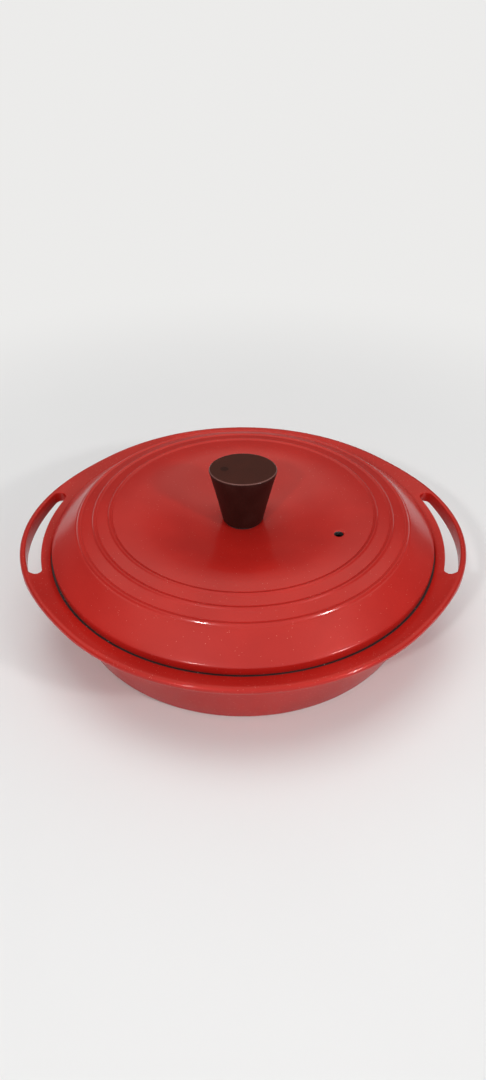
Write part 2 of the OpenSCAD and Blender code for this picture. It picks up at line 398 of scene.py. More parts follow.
class NodeDesk:
    """Lays out the shader nodes of one material or world."""

    def __init__(self, owner: bpy.types.Material | bpy.types.World, output: str) -> None:
        """Clears the owner's nodes and adds an output.

        Args:
            owner: The material or world.
            output: Blender's name for the output node's type.
        """
        owner.use_nodes = True
        self.tree: bpy.types.NodeTree = owner.node_tree
        self.tree.nodes.clear()
        self.output = self.tree.nodes.new(output)
        self.coordinates = self.tree.nodes.new("ShaderNodeTexCoord").outputs
        self.place = self.coordinates["Object"]

    def node(self, kind: str, fills: dict[str | int, object] | None = None,
             **settings: object) -> bpy.types.Node:
        """Adds a node, sets its properties and fills its inputs.

        Args:
            kind: Blender's name for the node's type.
            fills: For each input's name or number, a socket to link from or a value.
            **settings: Values of the node's own properties.

        Returns:
            The node.
        """
        item = self.tree.nodes.new(kind)
        for key, value in settings.items():
            setattr(item, key, value)
        for key, value in (fills or {}).items():
            if isinstance(value, bpy.types.NodeSocket):
                self.tree.links.new(value, item.inputs[key])
            else:
                item.inputs[key].default_value = value
        return item

    def show(self, item: bpy.types.Node) -> None:
        """Links a shader node to the output."""
        self.tree.links.new(item.outputs[0], self.output.inputs["Surface"])

    def noise(self, scale: float, detail: float = 2.0, rough: float = 0.5,
              where: bpy.types.NodeSocket | None = None) -> bpy.types.NodeSocket:
        """Adds a noise pattern.

        Args:
            scale: Lumps per metre.
            detail: Number of finer layers.
            rough: Strength of the finer layers.
            where: Coordinates to read, or None for the piece's own.

        Returns:
            The pattern, from 0 to 1.
        """
        return self.node("ShaderNodeTexNoise", {
            "Vector": where or self.place, "Scale": scale, "Detail": detail,
            "Roughness": rough}).outputs["Fac"]

    def cells(self, scale: float) -> tuple[bpy.types.NodeSocket, ...]:
        """Adds a pattern of separate cells, each with a colour of its own.

        Args:
            scale: Cells per metre.

        Returns:
            Distance from the cell's middle, its colour, and the colour's red and green.
        """
        fills = {"Vector": self.place, "Scale": scale}
        item = self.node("ShaderNodeTexVoronoi", fills, feature="F1")
        colour = item.outputs["Color"]
        parts = self.node("ShaderNodeSeparateColor", {"Color": colour}).outputs
        return item.outputs["Distance"], colour, parts["Red"], parts["Green"]

    def span(self, value: object, low: float, high: float, to_low: float = 0.0,
             to_high: float = 1.0) -> bpy.types.NodeSocket:
        """Stretches a range of a value onto another, held at both ends.

        Args:
            value: The socket to read.
            low: Value that becomes to_low.
            high: Value that becomes to_high.
            to_low: Result at the low end.
            to_high: Result at the high end.

        Returns:
            The stretched value.
        """
        return self.node("ShaderNodeMapRange", {
            "Value": value, "From Min": low, "From Max": high, "To Min": to_low,
            "To Max": to_high}, interpolation_type="SMOOTHSTEP").outputs["Result"]

    def reckon(self, operation: str, a: object, b: object = 0.0) -> bpy.types.NodeSocket:
        """Adds a Math node.

        Args:
            operation: Blender's name for the operation.
            a: First socket or number.
            b: Second socket or number.

        Returns:
            The result.
        """
        return self.node("ShaderNodeMath", {0: a, 1: b}, operation=operation).outputs[0]

    def times(self, a: object, b: object) -> bpy.types.NodeSocket:
        """Returns the product of two sockets or numbers."""
        return self.reckon("MULTIPLY", a, b)

    def vector(self, operation: str, *parts: object,
               result: str = "Vector") -> bpy.types.NodeSocket:
        """Adds a Vector Math node.

        Args:
            operation: Blender's name for the operation.
            *parts: The vectors it works on, sockets or values.
            result: Name of the output, Vector or Value.

        Returns:
            The result.
        """
        item = self.node("ShaderNodeVectorMath", dict(enumerate(parts)), operation=operation)
        return item.outputs[result]

    def split(self, vector: bpy.types.NodeSocket) -> bpy.types.bpy_prop_collection:
        """Returns the three parts of a vector."""
        return self.node("ShaderNodeSeparateXYZ", {0: vector}).outputs

    def blend(self, share: object, a: object, b: object) -> bpy.types.NodeSocket:
        """Mixes two colours.

        Args:
            share: Share of the second colour.
            a: First colour or socket.
            b: Second colour or socket.

        Returns:
            The mixed colour.
        """
        fills = {"Factor": share, 6: a, 7: b}
        return self.node("ShaderNodeMix", fills, data_type="RGBA").outputs[2]

    def mix(self, share: bpy.types.NodeSocket, a: bpy.types.Node,
            b: bpy.types.Node) -> bpy.types.Node:
        """Mixes two shader nodes, with a share of the second, and returns the mix."""
        return self.node("ShaderNodeMixShader", {0: share, 1: a.outputs[0], 2: b.outputs[0]})

    def bump(self, height: bpy.types.NodeSocket, depth_mm: float, strength: float = 1.0,
             over: bpy.types.NodeSocket | None = None) -> bpy.types.NodeSocket:
        """Adds a bump.

        Args:
            height: The pattern, from 0 to 1.
            depth_mm: Height of the pattern, in mm.
            strength: Share of the bump that shows.
            over: Normal that the bump is laid on, or None for the surface's own.

        Returns:
            The bumped normal.
        """
        fills = {"Strength": strength, "Distance": depth_mm * MM, "Height": height}
        if over is not None:
            fills["Normal"] = over
        return self.node("ShaderNodeBump", fills).outputs["Normal"]

    def principled(self, **values: object) -> bpy.types.Node:
        """Adds the Principled shader.

        Args:
            **values: Socket names, with _ for a space, and what fills them.

        Returns:
            The shader node.
        """
        fills = {key.replace("_", " "): value for key, value in values.items()}
        return self.node("ShaderNodeBsdfPrincipled", fills)


@dataclass(frozen=True)
class Finish:
    """What every finish has: a name, and nodes that it lays out itself."""

    name: str

    def make(self) -> bpy.types.Material:
        """Builds the material.

        Returns:
            The finished material.
        """
        material = bpy.data.materials.new(self.name)
        desk = NodeDesk(material, "ShaderNodeOutputMaterial")
        desk.show(self.lay_out(desk))
        return material

    def lay_out(self, desk: NodeDesk) -> bpy.types.Node:
        """Lays out the nodes.

        Args:
            desk: Where they go.

        Returns:
            The shader node to show.
        """
        raise NotImplementedError


@dataclass(frozen=True)
class FlakeCoat(Finish):
    """Red enamel-like coat with metal flakes under a clear, slightly rippled top; the flakes' pale
    colour is partly their own and partly painted glint.
    """

    deep: Colour = (0.425, 0.0120, 0.0082, 1.0)
    bright: Colour = (0.510, 0.0165, 0.0110, 1.0)
    # Pale flake colour: partly the metal flakes' own, partly painted glint.
    flake_glint: Colour = (0.85, 0.30, 0.24, 1.0)
    flakes_per_metre: float = 1900.0
    flake_share: float = 0.05
    flake_size: float = 0.26
    flake_tilt: float = 0.16
    flake_metal: float = 0.35
    flake_polish: float = 0.08
    body_roughness: float = 0.42
    body_metal: float = 0.20
    clear_roughness: float = 0.10
    clear_weight: float = 0.7
    ripple_mm: float = 0.006

    def lay_out(self, desk: NodeDesk) -> bpy.types.Node:
        """Lays out the nodes; see Finish."""
        clouds = desk.noise(16.0, 3.0, 0.55)
        fine = desk.noise(900.0, 2.0, 0.6)
        body = desk.blend(desk.span(clouds, 0.30, 0.70), self.deep, self.bright)
        body = desk.blend(desk.span(fine, 0.35, 0.75, 0.0, 0.30), body, self.deep)

        distance, colour, red, _ = desk.cells(self.flakes_per_metre)
        round_flake = desk.span(distance, self.flake_size * 0.7, self.flake_size * 1.3, 1.0, 0.0)
        flake_glint = desk.times(desk.reckon("LESS_THAN", red, self.flake_share), round_flake)
        lean = desk.node("ShaderNodeVectorMath", {
            0: desk.vector("SUBTRACT", colour, (0.5, 0.5, 0.5)),
            "Scale": desk.times(flake_glint, self.flake_tilt)}, operation="SCALE").outputs[0]
        surface = desk.node("ShaderNodeNewGeometry").outputs["Normal"]
        leaned = desk.vector("NORMALIZE", desk.vector("ADD", surface, lean))

        smudge = desk.span(desk.noise(38.0, 4.0, 0.6), 0.35, 0.75, -0.03, 0.05)
        roughness = desk.reckon("ADD", smudge, self.body_roughness)
        # The pale flake dots in the base colour are partly painted glint; the flakes' tilt, metal
        # and lower roughness are real.
        return desk.principled(
            Base_Color=desk.blend(flake_glint, body, self.flake_glint),
            Metallic=desk.reckon("ADD", desk.times(flake_glint, self.flake_metal), self.body_metal),
            Roughness=desk.reckon("SUBTRACT", roughness, desk.times(flake_glint, self.flake_polish)),
            Specular_IOR_Level=0.12,
            Normal=leaned,
            Coat_Weight=self.clear_weight,
            Coat_Roughness=self.clear_roughness,
            Coat_Normal=desk.bump(desk.noise(260.0, 2.0, 0.5), self.ripple_mm, 0.5))


@dataclass(frozen=True)
class ReleaseCoat(Finish):
    """Charcoal non-stick coat with a fine pale speckle."""

    base: Colour = (0.030, 0.029, 0.030, 1.0)
    worn: Colour = (0.046, 0.044, 0.044, 1.0)
    speck: Colour = (0.30, 0.29, 0.28, 1.0)
    speck_share: float = 0.16
    roughness: float = 0.42

    def lay_out(self, desk: NodeDesk) -> bpy.types.Node:
        """Lays out the nodes; see Finish."""
        tone = desk.blend(desk.span(desk.noise(22.0, 4.0, 0.6), 0.35, 0.70), self.base, self.worn)
        distance, _, _, green = desk.cells(520.0)
        chosen = desk.reckon("LESS_THAN", green, self.speck_share)
        speck = desk.times(desk.times(chosen, desk.span(distance, 0.16, 0.26, 1.0, 0.0)), 0.75)
        grain = desk.noise(1600.0, 2.0, 0.6)
        return desk.principled(
            Base_Color=desk.blend(speck, tone, self.speck),
            Roughness=desk.span(grain, 0.2, 0.8, self.roughness - 0.06, self.roughness + 0.10),
            Normal=desk.bump(grain, 0.02, 0.5))


@dataclass(frozen=True)
class MouldedResin(Finish):
    """Dark brown-black moulded resin: satin skin, gate mark, a less rough upper edge with a painted
    highlight line along it, and a painted lighter top face.
    """

    base: Colour = (0.027, 0.0060, 0.0045, 1.0)
    dusty: Colour = (0.038, 0.0092, 0.0066, 1.0)
    # Painted light: a lighter tone for the top face, standing in for the light that falls on it.
    painted_top_light: Colour = (0.052, 0.0135, 0.0088, 1.0)
    # Painted highlight: colour of a pale line painted along the rounded upper edge, where the lamps
    # glint.
    painted_edge_highlight: Colour = (0.17, 0.075, 0.064, 1.0)
    pit: Colour = (0.016, 0.0045, 0.0035, 1.0)
    top_z: float = 0.0991
    roughness: float = 0.50
    worn_edge: float = 0.24
    edge_low: Pair = (0.35, 0.60)
    edge_high: Pair = (0.80, 0.93)
    gate_at: tuple[float, float, float] = (-0.0115, -0.0005, 0.0990)
    gate_r_mm: float = 1.9
    gate_soft_mm: float = 1.2
    gate_share: float = 0.65

    def lay_out(self, desk: NodeDesk) -> bpy.types.Node:
        """Lays out the nodes; see Finish."""
        clouds = desk.span(desk.noise(70.0, 4.0, 0.6), 0.35, 0.75)
        grain = desk.noise(1400.0, 3.0, 0.6)
        tone = desk.blend(clouds, self.base, self.dusty)
        tone = desk.blend(desk.span(grain, 0.55, 0.80, 0.0, 0.35), tone, self.dusty)
        # Painted light: the top face and its upper rounding are painted lighter, standing in for
        # the light falling on the top.
        crown = desk.span(desk.split(desk.place)[2], self.top_z - 1.4 * MM, self.top_z - 0.3 * MM)
        tone = desk.blend(desk.times(crown, desk.span(clouds, 0, 1, 0.75, 1.0)), tone, self.painted_top_light)

        away = desk.vector("DISTANCE", desk.place, self.gate_at, result="Value")
        gate_stop = self.gate_r_mm + self.gate_soft_mm
        gate = desk.span(away, self.gate_r_mm * MM, gate_stop * MM, 1.0, 0.0)
        tone = desk.blend(desk.times(gate, self.gate_share), tone, self.pit)

        normal = desk.bump(desk.noise(120.0, 1.0, 0.4), 0.05, 0.25, desk.bump(grain, 0.035, 0.55))
        normal = desk.bump(desk.reckon("SUBTRACT", 1.0, gate), 0.12, 0.7, normal)
        # Painted highlight: a pale line is painted into the base colour along the rounded upper
        # edge; the same band is also made less rough.
        upward = desk.split(desk.node("ShaderNodeNewGeometry").outputs["Normal"])[2]
        edge = desk.times(desk.span(upward, *self.edge_low),
                          desk.span(upward, *self.edge_high, 1.0, 0.0))
        skin = desk.span(clouds, 0.0, 1.0, self.roughness - 0.05, self.roughness + 0.07)
        return desk.principled(
            Base_Color=desk.blend(edge, tone, self.painted_edge_highlight),
            Roughness=desk.reckon("SUBTRACT", skin, desk.times(edge, self.worn_edge)),
            Specular_IOR_Level=0.14,
            Normal=normal)


@dataclass(frozen=True)
class SoftRubber(Finish):
    """Matt dark silicone."""

    base: Colour = (0.028, 0.026, 0.026, 1.0)
    bloom: Colour = (0.060, 0.057, 0.056, 1.0)
    roughness: float = 0.62

    def lay_out(self, desk: NodeDesk) -> bpy.types.Node:
        """Lays out the nodes; see Finish."""
        clouds = desk.span(desk.noise(190.0, 3.0, 0.6), 0.40, 0.75)
        grain = desk.noise(2600.0, 2.0, 0.5)
        return desk.principled(
            Base_Color=desk.blend(clouds, self.base, self.bloom),
            Roughness=desk.span(grain, 0.2, 0.8, self.roughness - 0.08, self.roughness + 0.08),
            Normal=desk.bump(grain, 0.02, 0.6))


@dataclass(frozen=True)
class TurnedMetal(Finish):
    """Metal turned on a lathe: fine rings about the axis and small stains."""

    base: Colour
    stain: Colour
    roughness: float = 0.28
    rings_per_metre: float = 5200.0

    def lay_out(self, desk: NodeDesk) -> bpy.types.Node:
        """Lays out the nodes; see Finish."""
        x, y, z = desk.split(desk.place)
        radius = desk.reckon("SQRT", desk.reckon("ADD", desk.times(x, x), desk.times(y, y)))
        along = desk.node("ShaderNodeCombineXYZ", {0: radius, 1: z}).outputs[0]
        rings = desk.noise(self.rings_per_metre, 2.0, 0.6, along)
        clouds = desk.span(desk.noise(240.0, 3.0, 0.6), 0.45, 0.80)
        return desk.principled(
            Base_Color=desk.blend(clouds, self.base, self.stain),
            Metallic=1.0,
            Roughness=desk.span(rings, 0.2, 0.8, self.roughness - 0.08, self.roughness + 0.12),
            Normal=desk.bump(rings, 0.012, 0.6))


@dataclass(frozen=True)
class FloorPaint(Finish):
    """Pale matt floor that runs out into the backdrop's colour."""

    tone: tuple[float, float, float] = (0.82, 0.815, 0.805)
    mottle: float = 0.97
    fade: Pair = (0.20, 0.60)

    def lay_out(self, desk: NodeDesk) -> bpy.types.Node:
        """Lays out the nodes; see Finish."""
        far = desk.span(desk.vector("LENGTH", desk.place, result="Value"), *self.fade)
        patches = desk.span(desk.noise(9.0, 3.0, 0.5), 0.3, 0.7, 0.0, 0.25)
        darker = tuple(c * self.mottle for c in self.tone)
        paint = desk.principled(
            Base_Color=desk.blend(patches, (*self.tone, 1.0), (*darker, 1.0)),
            Roughness=0.75, Specular_IOR_Level=0.25)
        return desk.mix(far, paint, desk.node("ShaderNodeEmission", {"Color": BACKDROP}))


class Finishes:
    """Every finish of the casserole, made once and shared."""

    def __init__(self) -> None:
        """Makes the materials."""
        self.wall = FlakeCoat(
            "red_wall_coat", flake_share=0.04, ripple_mm=0.010, clear_weight=0.5).make()
        # The base coat's denser pale flakes are partly painted glint.
        self.base = FlakeCoat(
            "red_base_coat", flake_glint=(0.68, 0.17, 0.14, 1.0), flake_share=0.15, flake_size=0.28,
            flakes_per_metre=1150.0, flake_tilt=0.12, clear_weight=0.55, clear_roughness=0.18,
            body_roughness=0.36, body_metal=0.30).make()
        self.lid = FlakeCoat(
            "red_lid_coat", flake_share=0.010, body_metal=0.08, clear_roughness=0.15).make()
        self.release = ReleaseCoat("charcoal_release_coat").make()
        self.resin = MouldedResin("dark_resin").make()
        self.rubber = SoftRubber("dark_silicone").make()
        self.brass = TurnedMetal(
            "turned_brass", (0.78, 0.55, 0.22, 1.0), (0.52, 0.33, 0.12, 1.0)).make()
        self.steel = TurnedMetal(
            "turned_steel", (0.60, 0.60, 0.61, 1.0), (0.44, 0.43, 0.42, 1.0)).make()


# ---------------------------------------------------------------- pot


@dataclass(frozen=True)
class Wreath:
    """One ring of raised leaves on the base.

    Lengths are in mm, place is a share of the base's radius, leans are the
    turns of every other leaf in degrees and phase is a share of one step.
    """

    count: int
    length: float
    width: float
    place: float
    leans: Pair
    phase: float = 0.0


@dataclass
class Pot:
    """The cast pot: ringed base, flared lip, two slotted handles and raised leaves."""

    finishes: Finishes
    height: float = 52.0
    mouth_r: float = 120.0
    base_r: float = 112.0
    lip_r: float = 138.0
    wall: float = 3.3
    floor: float = 4.6
    edge_r: float = 2.1
    foot_round: float = 2.0
    foot_in: float = 0.6
    foot_out: float = 1.37
    foot_up: float = 1.65
    floor_round: float = 5.0
    crease_r: float = 123.0
    crease_z: float = 39.5
    flare_end: Pair = (136.95, 48.08)
    ledge_r: float = 124.7
    ledge_z: float = 47.0
    top_in_r: float = 135.1
    rim_z: float = 49.5

    disc_up: float = 0.6
    disc_r: float = 98.7
    groove: float = 0.9
    groove_w: float = 1.2
    groove_lean: float = 0.3
    groove_low: float = 0.15
    groove_high: float = 0.25
    twin_w: float = 2.6
    twin_half: float = 0.4
    twin_z: float = 0.3
    ridge_round: float = 0.2
    inner_band_w: float = 3.2
    bead_w: float = 1.4
    base_coat_z: float = 1.7

    lobe_x: float = 36.0
    lobe_r: float = 108.46
    lobe_blend: float = 6.0
    bar_t: float = 3.8
    bar_low: float = 41.28
    arch_r: float = 310.25
    drop_inner: float = 0.75
    least_move: float = 0.02
    slack: float = 0.4
    slot_in_r: float = 130.5
    slot_z: float = 40.0
    slot_stop: float = 19.0
    slot_turn: float = 3.0
    slot_round: float = 3.9
    slot_least: float = 0.30
    slot_fade: float = 6.0
    slot_slack: float = 0.5
    slot_bevel: float = 0.55

    centre_ring_r: float = 33.1
    line_mm: float = 0.52
    leaf_belly: float = 0.62
    rib_share: float = 0.5
    rib_back: float = 0.07
    rib_point: float = 0.4
    ring_flat: float = 0.9
    wreaths: tuple[Wreath, ...] = (
        Wreath(10, 24.0, 12.0, 0.475, (24.0, 24.0), 0.5),
        Wreath(20, 15.0, 7.0, 0.715, (-38.0, -62.0)))
    flat_rings: tuple[float, ...] = (0.0, 20.0, 40.0, 60.0, 80.0)
    turns: tuple[tuple[float, int], ...] = ((15.0, 10), (8.0, 16), (13.0, 8), (54.0, 30))

    def flare_z(self, r: float) -> float:
        """Returns the height of the flare's outer face at a radius, in mm."""
        end_r, end_z = self.flare_end
        rise = end_z - self.crease_z
        return self.crease_z + (r - self.crease_r) * rise / (end_r - self.crease_r)

    def lip_z(self, r: float) -> float:
        """Returns the height of the lip's inner slope at a radius, in mm."""
        start = self.ledge_z + 1
        return start + (r - self.ledge_r) * (self.height - start) / (self.top_in_r - self.ledge_r)

    def outline(self, angle: float) -> float:
        """Returns the radius of the rim, in mm, at an angle in radians from the handle."""
        lobe = self.lobe_x * math.cos(angle) + math.sqrt(
            self.lobe_r ** 2 - (self.lobe_x * math.sin(angle)) ** 2)
        return soft_max(self.lip_r, lobe, self.lobe_blend)

    def slot_out(self, angle: float) -> float:
        """Returns the outer radius of a finger slot, in mm, at an angle from the handle."""
        return self.outline(angle) - self.bar_t

    def rim_drop(self, angle: float) -> float:
        """Returns how far the rim's lower edge hangs below the plain lip, in mm.

        Args:
            angle: Angle from the middle of the handle, in radians.

        Returns:
            The drop, nearly 0 away from the handle.
        """
        across = self.outline(angle) * math.sin(angle)
        arch = self.arch_r - math.sqrt(self.arch_r ** 2 - across ** 2)
        plain = self.flare_end[1]
        return plain + soft_max(-plain, -(self.bar_low + arch), 1.0)

    def section(self) -> list[Pair]:
        """Draws the pot's section, from the middle of the base round to the inside.

        Returns:
            Radius and height of each point, in metres.
        """
        lean, low, high = self.groove_lean, self.groove_low, self.groove_high
        deep = self.disc_up + self.groove
        twin = self.disc_r + self.twin_w / 2
        band_a = self.disc_r + self.twin_w
        band_b = band_a + self.inner_band_w
        bead_a = band_b + self.groove_w
        bead_b = bead_a + self.bead_w
        out = Section().along((r, self.disc_up) for r in self.flat_rings)
        out.to(self.disc_r, self.disc_up, self.ridge_round).to(self.disc_r + lean, deep, low)
        out.to(twin - self.twin_half, deep, low).to(twin, self.twin_z, self.ridge_round)
        out.to(twin + self.twin_half, self.groove, low)
        out.to(band_a - lean, self.groove, low).to(band_a, 0, high)
        for a, b in ((band_b, bead_a), (bead_b, bead_b + self.groove_w)):
            out.to(a, 0, high).to(a + lean, self.groove, low)
            out.to(b - lean, self.groove, low).to(b, 0, high)
        out.arc(self.base_r - self.foot_in, self.foot_round, self.foot_round, -90, -10, 6)
        foot_r, foot_z = self.base_r + self.foot_out, self.foot_up
        for i in range(1, 6):
            u = i / 6
            out.to(foot_r + (self.crease_r - foot_r) * u, foot_z + (self.crease_z - foot_z) * u)
        ring_in = self.lip_r - self.bar_t
        out.to(self.crease_r, self.crease_z, 1.6)
        out.along((r, self.flare_z(r)) for r in (self.slot_in_r, ring_in))
        out.arc(self.lip_r - self.edge_r, self.height - self.edge_r, self.edge_r, -60, 90, 10)
        out.to(self.top_in_r, self.height)
        out.along((r, self.lip_z(r)) for r in (ring_in, self.slot_in_r))
        out.to(self.ledge_r, self.ledge_z + 1, 0.5).to(self.ledge_r, self.ledge_z, 0.3)
        out.to(self.mouth_r, self.ledge_z, 0.6)
        inner_crease = self.crease_r - self.wall
        out.to(inner_crease, self.crease_z)
        inside_r = self.base_r + 1 - self.wall
        tangent = math.radians(10)
        start_r = inside_r - self.floor_round * (1 - math.cos(tangent))
        start_z = self.floor + self.floor_round * (1 - math.sin(tangent))
        for i in range(1, 5):
            u = i / 5
            out.to(inner_crease + (start_r - inner_crease) * u,
                   self.crease_z + (start_z - self.crease_z) * u)
        out.arc(inside_r - self.floor_round, self.floor + self.floor_round, self.floor_round,
                -10, -90, 8)
        out.along((r, self.floor) for r in reversed(self.flat_rings))
        return out.points()

    def swell_handle(self, piece: Workpiece) -> None:
        """Draws the rim outwards and its lower edge down, column by column.

        Args:
            piece: A quarter of the pot, spun from the middle of a handle.
        """
        columns: dict[int, list[int]] = {}
        spots = piece.places()
        for n, p in enumerate(spots):
            if ring_radius(p) > self.slot_in_r + 1 and p.z > (self.crease_z + 3) * MM:
                columns.setdefault(column_key(p), []).append(n)
        for numbers in columns.values():
            angle = math.atan2(spots[numbers[0]].y, spots[numbers[0]].x)
            grow = self.outline(angle) - self.lip_r
            drop = self.rim_drop(angle)
            out_x, out_y = grow * math.cos(angle) * MM, grow * math.sin(angle) * MM
            upper = [n for n in numbers if spots[n].z > self.rim_z * MM]
            inner = [n for n in numbers if spots[n].z < self.rim_z * MM
                     and ring_radius(spots[n]) < self.lip_r - self.bar_t + self.slack]
            edge = [n for n in numbers if n not in upper and n not in inner]
            for group, share in ((upper, 0.0), (inner, self.drop_inner), (edge, 1.0)):
                if max(grow, drop * share) > self.least_move:
                    piece.pick_vertices(group)
                    bpy.ops.transform.translate(value=(out_x, out_y, -drop * share * MM))

    def round_slot_ends(self, piece: Workpiece) -> None:
        """Pinches the two edges of the coming slot together towards its end.

        Args:
            piece: The quarter pot, with its handle swollen.
        """
        spots = piece.places()
        pairs: dict[tuple[int, bool], list[int]] = {}
        for n, p in enumerate(spots):
            angle, r = handle_angle(p), ring_radius(p)
            away = abs(math.degrees(angle) - self.slot_stop)
            if away > self.slot_turn or p.z < self.slot_z * MM:
                continue
            if min(abs(r - self.slot_in_r), abs(r - self.slot_out(angle))) < self.slack / 2:
                pairs.setdefault((column_key(p), p.z > self.rim_z * MM), []).append(n)
        reach, least = self.slot_round, self.slot_least
        for numbers in pairs.values():
            if len(numbers) != 2:
                continue
            angle = handle_angle(spots[numbers[0]])
            run = (math.radians(self.slot_stop) - angle) * (self.slot_in_r + reach)
            if run >= reach:
                continue
            if run >= 0:
                keep = max(math.sqrt(max(reach ** 2 - (reach - run) ** 2, 0.0)) / reach, least)
            else:
                keep = least + (1 - least) * min(-run / self.slot_fade, 1.0)
            centre = (spots[numbers[0]] + spots[numbers[1]]) / 2
            piece.pick_vertices(numbers)
            bpy.ops.transform.resize(value=(keep, keep, keep), center_override=centre)

    def cut_slots(self, piece: Workpiece) -> None:
        """Opens both finger slots and rounds their rims.

        Args:
            piece: The whole pot.
        """
        stop = math.radians(self.slot_stop)

        def in_slot(face: bmesh.types.BMFace) -> bool:
            """Says whether a face lies between the slot's edges."""
            spot = face.calc_center_median()
            angle = handle_angle(spot)
            if angle > stop or spot.z < self.slot_z * MM:
                return False
            rings = [ring_radius(v.co) for v in face.verts]
            return (min(rings) > self.slot_in_r - self.slack
                    and max(rings) < self.slot_out(angle) + self.slot_slack)

        def on_rim(edge: bmesh.types.BMEdge) -> bool:
            """Says whether an edge is a sharp edge of a slot."""
            spot = (edge.verts[0].co + edge.verts[1].co) / 2
            angle = handle_angle(spot)
            if len(edge.link_faces) != 2 or angle > stop + 0.01 or spot.z < self.slot_z * MM:
                return False
            flat = [abs(f.normal.z) for f in edge.link_faces]
            return (self.slot_in_r - 0.6 < ring_radius(spot) < self.slot_out(angle) + 0.6
                    and min(flat) < 0.15 and max(flat) > 0.5)

        cut = piece.pick_faces(in_slot)
        bpy.ops.mesh.delete(type="FACE")
        for side in (-1, 1):
            rim = piece.pick_edges(lambda e: e.is_boundary and e.verts[0].co.x * side > 0)
            bpy.ops.mesh.bridge_edge_loops()
            log.info("slot on side %+d: %d faces out of both, %d rim edges", side, cut, rim)
        piece.weld()
        piece.pick_edges(on_rim)
        bpy.ops.mesh.bevel(
            offset=self.slot_bevel * MM, segments=3, profile=0.5, clamp_overlap=True)

    def leaf(self, length: float, width: float) -> bpy.types.Object:
        """Draws one raised leaf outline with its midrib, lying along X at the origin.

        Args:
            length: Length of the leaf, in mm.
            width: Width of the leaf, in mm.

        Returns:
            The leaf as a mesh.
        """
        clear_selection()
        half_l, half_w = length / 2 * MM, width / 2 * MM
        bpy.ops.curve.primitive_bezier_circle_add(radius=half_l)
        outline = bpy.context.object.data
        outline.dimensions = "3D"
        outline.resolution_u = 5
        outline.bevel_depth = self.line_mm * MM
        outline.bevel_resolution = 1
        spots = ((-half_l, 0), (0, half_w), (half_l, 0), (0, -half_w))
        for point, (x, y) in zip(outline.splines[0].bezier_points, spots):
            point.co = (x, y, 0)
            point.handle_left_type = point.handle_right_type = "FREE" if y else "VECTOR"
            if y:
                lean = math.copysign(half_l * self.leaf_belly, y)
                point.handle_left, point.handle_right = (-lean, y, 0), (lean, y, 0)
        bpy.ops.object.convert(target="MESH")
        leaf = Workpiece("leaf_line")
        clear_selection()
        bpy.ops.mesh.primitive_cylinder_add(
            vertices=8, radius=self.line_mm * MM, depth=length * self.rib_share * MM,
            location=(-length * self.rib_back * MM, 0, 0), rotation=(0, math.pi / 2, 0))
        rib = Workpiece("leaf_rib")
        rib.pick_faces(lambda f: len(f.verts) == 8)
        bpy.ops.mesh.inset(thickness=self.line_mm * self.rib_point * MM)
        leaf.join([rib.hold()])
        return leaf.item

    def raise_leaves(self, piece: Workpiece) -> None:
        """Puts the plain circle and the wreaths of leaves on the base.

        Args:
            piece: The whole pot.
        """
        clear_selection()
        level = (0, 0, self.disc_up * MM)
        bpy.ops.mesh.primitive_torus_add(
            major_radius=self.centre_ring_r * MM, minor_radius=self.line_mm * MM,
            major_segments=96, minor_segments=8, location=level)
        ring = Workpiece("centre_ring")
        ring.pick_all()
        bpy.ops.transform.resize(value=(1, 1, self.ring_flat), center_override=level)
        lines = [ring.hold()]
        for wreath in self.wreaths:
            pattern = self.leaf(wreath.length, wreath.width)
            out = Matrix.Translation((self.base_r * wreath.place * MM, 0, 0))
            for i in range(wreath.count):
                clear_selection()
                pattern.select_set(True)
                bpy.context.view_layer.objects.active = pattern
                bpy.ops.object.duplicate(linked=False)
                copy = bpy.context.object
                around = FULL_TURN * (i + wreath.phase) / wreath.count
                lean = math.radians(wreath.leans[i % 2])
                copy.matrix_world = (
                    Matrix.Translation(level) @ Matrix.Rotation(around, 4, "Z")
                    @ out @ Matrix.Rotation(lean, 4, "Z"))
                set_in_place()
                lines.append(copy)
            bpy.data.objects.remove(pattern)
        piece.join(lines)

    def is_inside(self, face: bmesh.types.BMFace) -> bool:
        """Says whether a face belongs to the pot's inside."""
        spot = face.calc_center_median()
        r, z = ring_radius(spot), spot.z / MM
        if z < 3 or z > self.ledge_z + 0.3:
            return False
        if z > self.ledge_z - 0.4:
            return r < self.ledge_r - 0.2
        foot_r, foot_z = self.base_r + self.foot_out, self.foot_up
        outer = foot_r + (self.crease_r - foot_r) * (z - foot_z) / (self.crease_z - foot_z)
        return r < min(outer, self.crease_r) - self.wall / 2

    def build(self) -> bpy.types.Object:
        """Models the pot and dresses it.

        Returns:
            The finished pot.
        """
        piece = Workpiece.spun("pot_casting", self.section(), self.turns)
        self.swell_handle(piece)
        self.round_slot_ends(piece)
        piece.apply_modifier("MIRROR", use_axis=(True, True, False), merge_threshold=WELD * 5)
        piece.weld()
        self.cut_slots(piece)
        piece.dress(self.finishes.wall, self.finishes.release, self.finishes.base)
        piece.coat_faces(1, self.is_inside)
        self.raise_leaves(piece)
        piece.coat_faces(2, lambda f: f.calc_center_median().z < self.base_coat_z * MM)
        piece.hold()
        bpy.ops.object.material_slot_remove_unused()
        pot = piece.finish()
        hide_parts("pot_floor", "pot_wall", "pot_lip", "handle_right", "handle_left")
        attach(pot, Body.POT.value)
        return pot


# ---------------------------------------------------------------- lid


